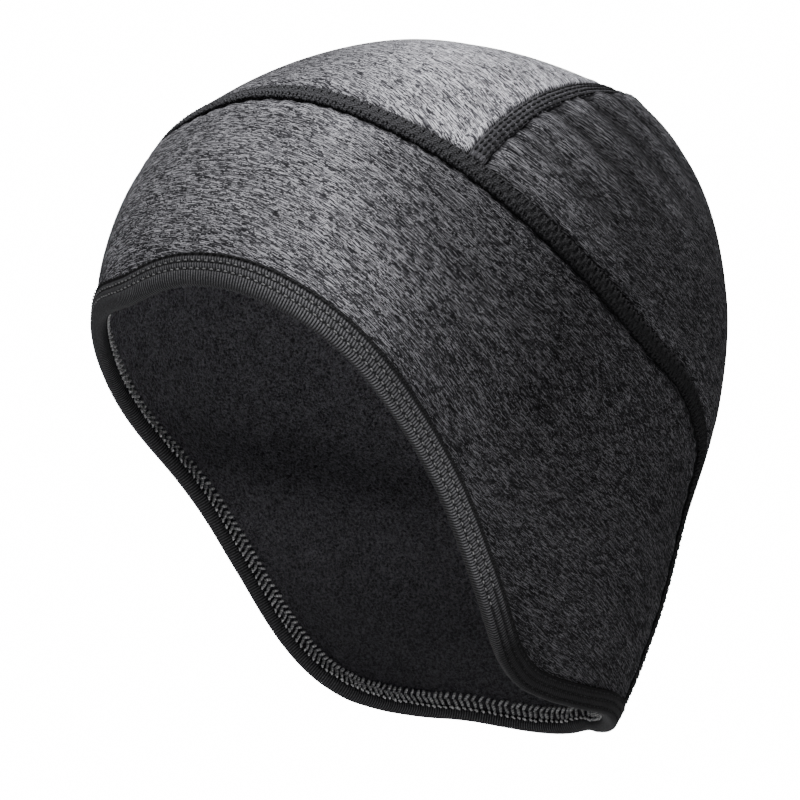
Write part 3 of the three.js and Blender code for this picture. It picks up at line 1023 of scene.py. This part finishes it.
def binding_body(sizes, material):
    """Ribbed binding with shallow channels where its stitches run."""
    pitch = rim.length / round(rim.length / (sizes.rib_pitch / MM))
    count = int(round(rim.length / pitch)) * STEPS_IN_RIB
    run = np.arange(count) * rim.length / count
    height, depth, folded, side, middle, half = binding_profile()
    outer = depth < 0
    place, across = rim.stations(run)
    shown = by_degrees(place, RIB_HEIGHT)
    # Paleness of the rib tops by degrees around, with painted light and shade in it.
    lint_and_light = by_degrees(place, RIB_PALE)
    channels = sum(np.exp(-(((height - row) / 0.34) ** 2)) for row in BINDING_ROWS)
    edge = np.exp(-(((height - OUTER_LEG - FOLD_DROP) / 0.35) ** 2))
    sunk = np.where(outer, 0.32 * channels + 0.4 * edge, 0)
    column = np.searchsorted(BINDING_ROWS, height)
    swell = 0.1 * waves(run / 5, run * 0, 90)
    reach = by_degrees(place, LEG_REACH)
    fold = by_degrees(place, FOLD_DEPTH)
    outside = np.empty((len(height), count, 3))
    inside = np.empty_like(outside)
    pale = np.empty((len(height), count))
    thick = 0.75 * BINDING
    for k, (up, deep) in enumerate(zip(height, depth)):
        slant = 0.35 * up + 0.37 * column[k] if outer[k] else 0.0
        wave = 0.5 - 0.5 * np.cos(2 * np.pi * (run / pitch + slant))
        ribs = sizes.rib_height / MM * wave * shown
        lifted = (up - FOLD_DROP) * np.where(outer[k], reach, 1.0) + FOLD_DROP - fold * folded[k]
        base = on_form(place + across * lifted[:, None])
        out = outward_at(base)
        bottom = folded[k]
        relief = (ribs - sunk[k] + swell) * side[k]
        outside[k] = base - out * (deep + relief)[:, None] - across * (0.12 * ribs * bottom)[:, None]
        inside[k] = base - out * (middle + side[k] * (half - thick)) + across * (thick * bottom)
        # Painted light on the rib tops; painted shade in the grooves, in the stitch channels, along the
        # outer edge and above the last row of stitches.
        margin = 0.3 if column[k] == len(BINDING_ROWS) else 1.0
        pale[k] = wave**2.2 * (margin * lint_and_light * (1 - min(1.0, channels[k] + edge[k])) if outer[k] else 0.3)
    v = np.concatenate([[0], np.cumsum(np.hypot(np.diff(height - 1.5 * folded), np.diff(depth)))])
    v = np.broadcast_to(v[:, None], outside.shape[:2])
    u = np.broadcast_to(run, outside.shape[:2])
    thin = np.array([0, 12, 16, 19, 22, len(height) - 1])
    return closed_sheet("binding_body", outside, inside[thin], u, v, material, True, pale)


def binding_outer_stitches(sizes, light, dark):
    """Rows of needle stitches outside: two are grey along the face and black behind it as painted shade; the
    third row is black all round.
    """
    radii = 0.85 * sizes.thread_radius / MM * np.array([0.5, 0.95, 1.0, 1.0, 0.95, 0.5])
    low, high = PROUD_OUTSIDE - 0.45, PROUD_OUTSIDE + 0.02
    pieces = []
    for k, (row, length) in enumerate(zip(BINDING_ROWS, (1.0, 1.0, 1.5))):
        path, outward = stitches(rim, 0, rim.length, 2.1, length, row, low, high, 0.07, 100 + k)
        # Behind GREY_TO the first two rows are drawn in black thread: painted shade.
        face = degrees_around(path.mean(1)) < (GREY_TO if k < 2 else 0)
        for word, chosen, material in (("grey", face, light), ("black", ~face, dark)):
            if chosen.any():
                name = f"binding_stitches_{k + 1}_{word}"
                row_body = thread_body(
                    name, path[chosen], outward[chosen], radii, 6, material, NEEDLE_PALE
                )
                pieces.append(row_body)
    return pieces


def binding_inner_loops(sizes, material):
    """Looper thread inside the rim: a dotted row, then two rows of bars that lean together."""
    radius = sizes.loop_radius / MM
    count = int(round(rim.length / (sizes.loop_pitch / MM)))
    pitch = rim.length / count
    t = np.linspace(-0.5, 0.5, 5)
    over_leg, top = HEAD_DEPTH + PROUD_INSIDE, FOLD_DROP + INNER_LEG
    picks = np.random.default_rng(120)
    pieces = []
    rows = ((2.7, 0.6, 0.9, 0.0, 0.8), (4.9, 2.3, 1.0, 0.3, 1.0), (7.0, 2.3, -1.0, 0.45, 1.0))
    for k, (row, width, lean, phase, share) in enumerate(rows):
        middles = (np.arange(count) + phase + picks.uniform(-0.08, 0.08, count)) * pitch
        run = middles[:, None] + (lean + picks.uniform(-0.4, 0.4, (count, 1))) * t
        aside = row + picks.uniform(-0.2, 0.2, (count, 1)) + width * t
        base = rim.beside(run, aside)
        outward = -outward_at(base)
        depth = np.interp(aside, [top, top + 0.6], [over_leg, HEAD_DEPTH])
        lift = share * radius * (1.2 - 4.4 * t**2) + picks.uniform(-0.05, 0.05, (count, 1))
        path = base + outward * (depth + lift)[..., None]
        thickness = share * radius * picks.uniform(0.85, 1.15, (count, 1))
        radii = thickness * np.array([0.62, 0.95, 1.0, 0.95, 0.62])
        pieces.append(thread_body(f"inner_loops_{k + 1}", path, outward, radii, 6, material))
    return pieces


# Stage

CAMERA_AZIMUTH = 55.04
CAMERA_ELEVATION = -12.81
CAMERA_ROLL = 2.18
CAMERA_DISTANCE = 0.640
CAMERA_LENS = 87.5
CAMERA_TARGET = Vector((-0.0640, 0.0446, -0.0832))

FLOOR_HEIGHT = -0.25
FLOOR_REACH = 3.0
ROOM_STRENGTH = 0.05
BACKGROUND_STRENGTH = 16.0

# Soft lamps: name, azimuth and elevation in degrees, distance and size in metres, power in watts
LAMPS = (
    ("key", 50, 50, 0.62, 0.34, 9.2),
    ("fill", 30, -20, 1.1, 0.5, 0.4),
    ("back", 235, 18, 0.9, 0.4, 9.0),
)
LAMP_TARGET = Vector((0, 0, -0.09))


def toward(azimuth, elevation):
    turn, rise = math.radians(azimuth), math.radians(elevation)
    flat = math.cos(rise)
    return Vector((flat * math.sin(turn), -flat * math.cos(turn), math.sin(rise)))


def aim_camera():
    data = bpy.data.cameras.new("photo_camera")
    data.lens = CAMERA_LENS
    data.sensor_width = 36
    data.clip_start = 0.02
    camera = bpy.data.objects.new("photo_camera", data)
    back = toward(CAMERA_AZIMUTH, CAMERA_ELEVATION)
    right = (-back).cross(Vector((0, 0, 1))).normalized()
    up = right.cross(-back)
    roll = math.radians(CAMERA_ROLL)
    right, up = (
        math.cos(roll) * right + math.sin(roll) * up,
        math.cos(roll) * up - math.sin(roll) * right,
    )
    columns = Matrix((right, up, back)).transposed().to_4x4()
    camera.matrix_world = Matrix.Translation(CAMERA_TARGET + back * CAMERA_DISTANCE) @ columns
    bpy.context.scene.collection.objects.link(camera)
    bpy.context.scene.camera = camera


def soft_light(name, azimuth, elevation, distance, size, power):
    data = bpy.data.lights.new(name, "AREA")
    data.shape = "DISK"
    data.size = size
    data.energy = power
    lamp = bpy.data.objects.new(name, data)
    way = toward(azimuth, elevation)
    lamp.location = LAMP_TARGET + way * distance
    lamp.rotation_euler = way.to_track_quat("Z", "Y").to_euler()
    bpy.context.scene.collection.objects.link(lamp)


def pale_floor():
    mesh = bpy.data.meshes.new("floor")
    signs = ((-1, -1), (1, -1), (1, 1), (-1, 1))
    corners = [(x * FLOOR_REACH, y * FLOOR_REACH, FLOOR_HEIGHT) for x, y in signs]
    mesh.from_pydata(corners, [], [(0, 1, 2, 3)])
    floor = bpy.data.objects.new("floor", mesh)
    material = bpy.data.materials.new("pale floor")
    material.use_nodes = True
    shader = material.node_tree.nodes["Principled BSDF"]
    shader.inputs["Base Color"].default_value = (0.9, 0.9, 0.9, 1)
    shader.inputs["Roughness"].default_value = 0.6
    mesh.materials.append(material)
    bpy.context.scene.collection.objects.link(floor)


def white_room():
    """Soft light from all round, and a white background behind the cap."""
    world = bpy.data.worlds.new("white room")
    world.use_nodes = True
    w = Wiring(world.node_tree)
    world.node_tree.nodes.clear()
    path = w.node("ShaderNodeLightPath")
    either = w.node("ShaderNodeMixShader")
    w.join(path.outputs["Is Camera Ray"], either.inputs[0])
    for socket, strength in ((1, ROOM_STRENGTH), (2, BACKGROUND_STRENGTH)):
        glow = w.node("ShaderNodeBackground")
        glow.inputs["Strength"].default_value = strength
        glow.inputs["Color"].default_value = (1, 1, 1, 1)
        w.join(glow.outputs[0], either.inputs[socket])
    out = w.node("ShaderNodeOutputWorld")
    w.join(either.outputs[0], out.inputs["Surface"])
    bpy.context.scene.world = world


# Settings


def length_property(label, words, millimetres):
    return bpy.props.FloatProperty(
        name=label, description=words, default=millimetres * MM, unit="LENGTH"
    )


class CapSizes(bpy.types.PropertyGroup):
    gather_height: length_property("Gather height", "Height of the gathers behind the cross seam", 2.7)
    seam_pucker: length_property("Seam pucker", "Height of the small tucks beside the long seam", 0.22)
    cover_pitch: length_property(
        "Cover stitch pitch", "Length of one loop of the threads over the long seam", 2.6
    )
    thread_radius: length_property("Thread radius", "Radius of the sewing thread", 0.26)
    loop_pitch: length_property(
        "Looper pitch", "Length of one loop on the inner side of the binding", 1.95
    )
    loop_radius: length_property("Looper thread radius", "Radius of the soft looper thread", 0.5)
    rib_pitch: length_property("Rib pitch", "Distance between the ribs of the binding", 0.8)
    rib_height: length_property("Rib height", "Height of the ribs of the binding", 0.11)


def colour_property(label, words, value):
    return bpy.props.FloatVectorProperty(
        name=label, description=words, subtype="COLOR", size=3, min=0, max=1, default=value
    )


class CapColours(bpy.types.PropertyGroup):
    knit_dark: colour_property("Knit ground", "Dark yarn of the knit", (0.006, 0.0059, 0.0072))
    knit_mid: colour_property("Knit shade", "Half tone of the knit", (0.0275, 0.0272, 0.031))
    knit_light: colour_property("Knit fibre", "Light fibres of the knit", (0.53, 0.524, 0.563))
    seam: colour_property("Seam thread", "Thread of the seams", (0.008, 0.008, 0.0088))
    strip: colour_property("Cross seam strip", "Cloth of the cross seam", (0.044, 0.0434, 0.0475))
    fleece_dark: colour_property("Fleece ground", "Shade of the lining", (0.0225, 0.022, 0.0245))
    fleece_light: colour_property("Fleece tuft", "Tufts of the lining", (0.22, 0.216, 0.238))
    binding_dark: colour_property("Binding ground", "Grooves of the binding", (0.0022, 0.0022, 0.0025))
    binding_light: colour_property("Binding rib", "Rib tops of the binding", (0.185, 0.184, 0.196))
    looper: colour_property("Looper thread", "Loops inside the rim", (0.4, 0.4, 0.408))


def dressed(piece, node):
    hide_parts(node)
    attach(piece, "root")


def dimmer(colour, share):
    return tuple(channel * share for channel in colour)


class CAP_OT_knit_panels(bpy.types.Operator):
    """Build the three heather knit panels."""

    bl_idname = "liner_cap.knit_panels"
    bl_label = "Knit panels"

    def execute(self, context):
        sizes, colours = context.scene.cap_sizes, context.scene.cap_colours
        # The crown knit is a lit copy of the same knit colours, 1.7 times paler: painted light.
        tones = {"band_knit": 1.0, "crown_knit": 1.7, "rear_knit": 1.0}
        made = {}
        for slot, share in tones.items():
            made[slot] = heather_material(
                slot.replace("_", " "),
                dimmer(colours.knit_dark, share),
                dimmer(colours.knit_light, share),
                dimmer(colours.knit_mid, share),
            )
        dressed(band_knit(sizes, made["band_knit"]), "band_panel")
        dressed(crown_front_knit(sizes, made["crown_knit"]), "crown_front_panel")
        dressed(crown_rear_knit(sizes, made["rear_knit"]), "crown_rear_panel")
        return {"FINISHED"}


class CAP_OT_seams(bpy.types.Operator):
    """Build the long seam and the cross seam with their threads."""

    bl_idname = "liner_cap.seams"
    bl_label = "Seams"

    def execute(self, context):
        sizes, colours = context.scene.cap_sizes, context.scene.cap_colours
        thread = thread_material("seam thread", dimmer(colours.seam, 0.6), dimmer(colours.seam, 2.2))
        ladder = thread_material("cover thread", dimmer(colours.seam, 0.6), dimmer(colours.seam, 8.0))
        base = fleece_material("seam ground", dimmer(colours.seam, 0.4), dimmer(colours.seam, 1.2))
        strip = heather_material(
            "cross seam cloth",
            dimmer(colours.strip, 0.4),
            dimmer(colours.strip, 2.6),
            colours.strip[:],
        )
        for piece in (long_seam_base(base), *long_seam_threads(sizes, ladder)):
            dressed(piece, "long_seam")
        for piece in (cross_seam_base(strip), *cross_seam_stitches(sizes, thread)):
            dressed(piece, "cross_seam")
        return {"FINISHED"}


class CAP_OT_lining(bpy.types.Operator):
    """Build the fleece lining."""

    bl_idname = "liner_cap.lining"
    bl_label = "Fleece lining"

    def execute(self, context):
        colours = context.scene.cap_colours
        fleece = fleece_material("lining fleece", colours.fleece_dark[:], colours.fleece_light[:])
        dressed(fleece_lining(fleece), "lining")
        return {"FINISHED"}


class CAP_OT_binding(bpy.types.Operator):
    """Build the ribbed binding with its stitches and inner loops."""

    bl_idname = "liner_cap.binding"
    bl_label = "Rim binding"

    def execute(self, context):
        sizes, colours = context.scene.cap_sizes, context.scene.cap_colours
        ribbed = binding_material("rim binding", colours.binding_dark[:], colours.binding_light[:])
        black = thread_material("binding thread", dimmer(colours.seam, 0.5), dimmer(colours.seam, 2.0))
        grey = thread_material("looper thread", dimmer(colours.looper, 0.4), colours.looper[:])
        needle = thread_material("needle thread", dimmer(colours.looper, 0.2), dimmer(colours.looper, 0.5))
        pieces = [binding_body(sizes, ribbed)]
        pieces += binding_outer_stitches(sizes, needle, black)
        pieces += binding_inner_loops(sizes, grey)
        for piece in pieces:
            dressed(piece, "rim_binding")
        return {"FINISHED"}


class CAP_OT_stage(bpy.types.Operator):
    """Set the pale floor, the soft lights and the camera."""

    bl_idname = "liner_cap.stage"
    bl_label = "Stage"

    def execute(self, context):
        pale_floor()
        white_room()
        for lamp in LAMPS:
            soft_light(*lamp)
        aim_camera()
        return {"FINISHED"}


class CAP_PT_sidebar(bpy.types.Panel):
    bl_label = "Liner cap"
    bl_idname = "CAP_PT_sidebar"
    bl_space_type = "VIEW_3D"
    bl_region_type = "UI"
    bl_category = "Liner cap"

    def draw(self, context):
        layout = self.layout
        for group in (context.scene.cap_sizes, context.scene.cap_colours):
            for key in group.__annotations__:
                layout.prop(group, key)
        for operator in OPERATORS:
            layout.operator(operator.bl_idname)


OPERATORS = (
    CAP_OT_knit_panels,
    CAP_OT_seams,
    CAP_OT_lining,
    CAP_OT_binding,
    CAP_OT_stage,
)
CLASSES = (CapSizes, CapColours, *OPERATORS, CAP_PT_sidebar)


def register():
    for cls in CLASSES:
        bpy.utils.register_class(cls)
    bpy.types.Scene.cap_sizes = bpy.props.PointerProperty(type=CapSizes)
    bpy.types.Scene.cap_colours = bpy.props.PointerProperty(type=CapColours)


def unregister():
    del bpy.types.Scene.cap_colours
    del bpy.types.Scene.cap_sizes
    for cls in reversed(CLASSES):
        bpy.utils.unregister_class(cls)


def main():
    register()
    bpy.ops.liner_cap.knit_panels()
    bpy.ops.liner_cap.seams()
    bpy.ops.liner_cap.lining()
    bpy.ops.liner_cap.binding()
    bpy.ops.liner_cap.stage()


if __name__ == "__main__":
    main()
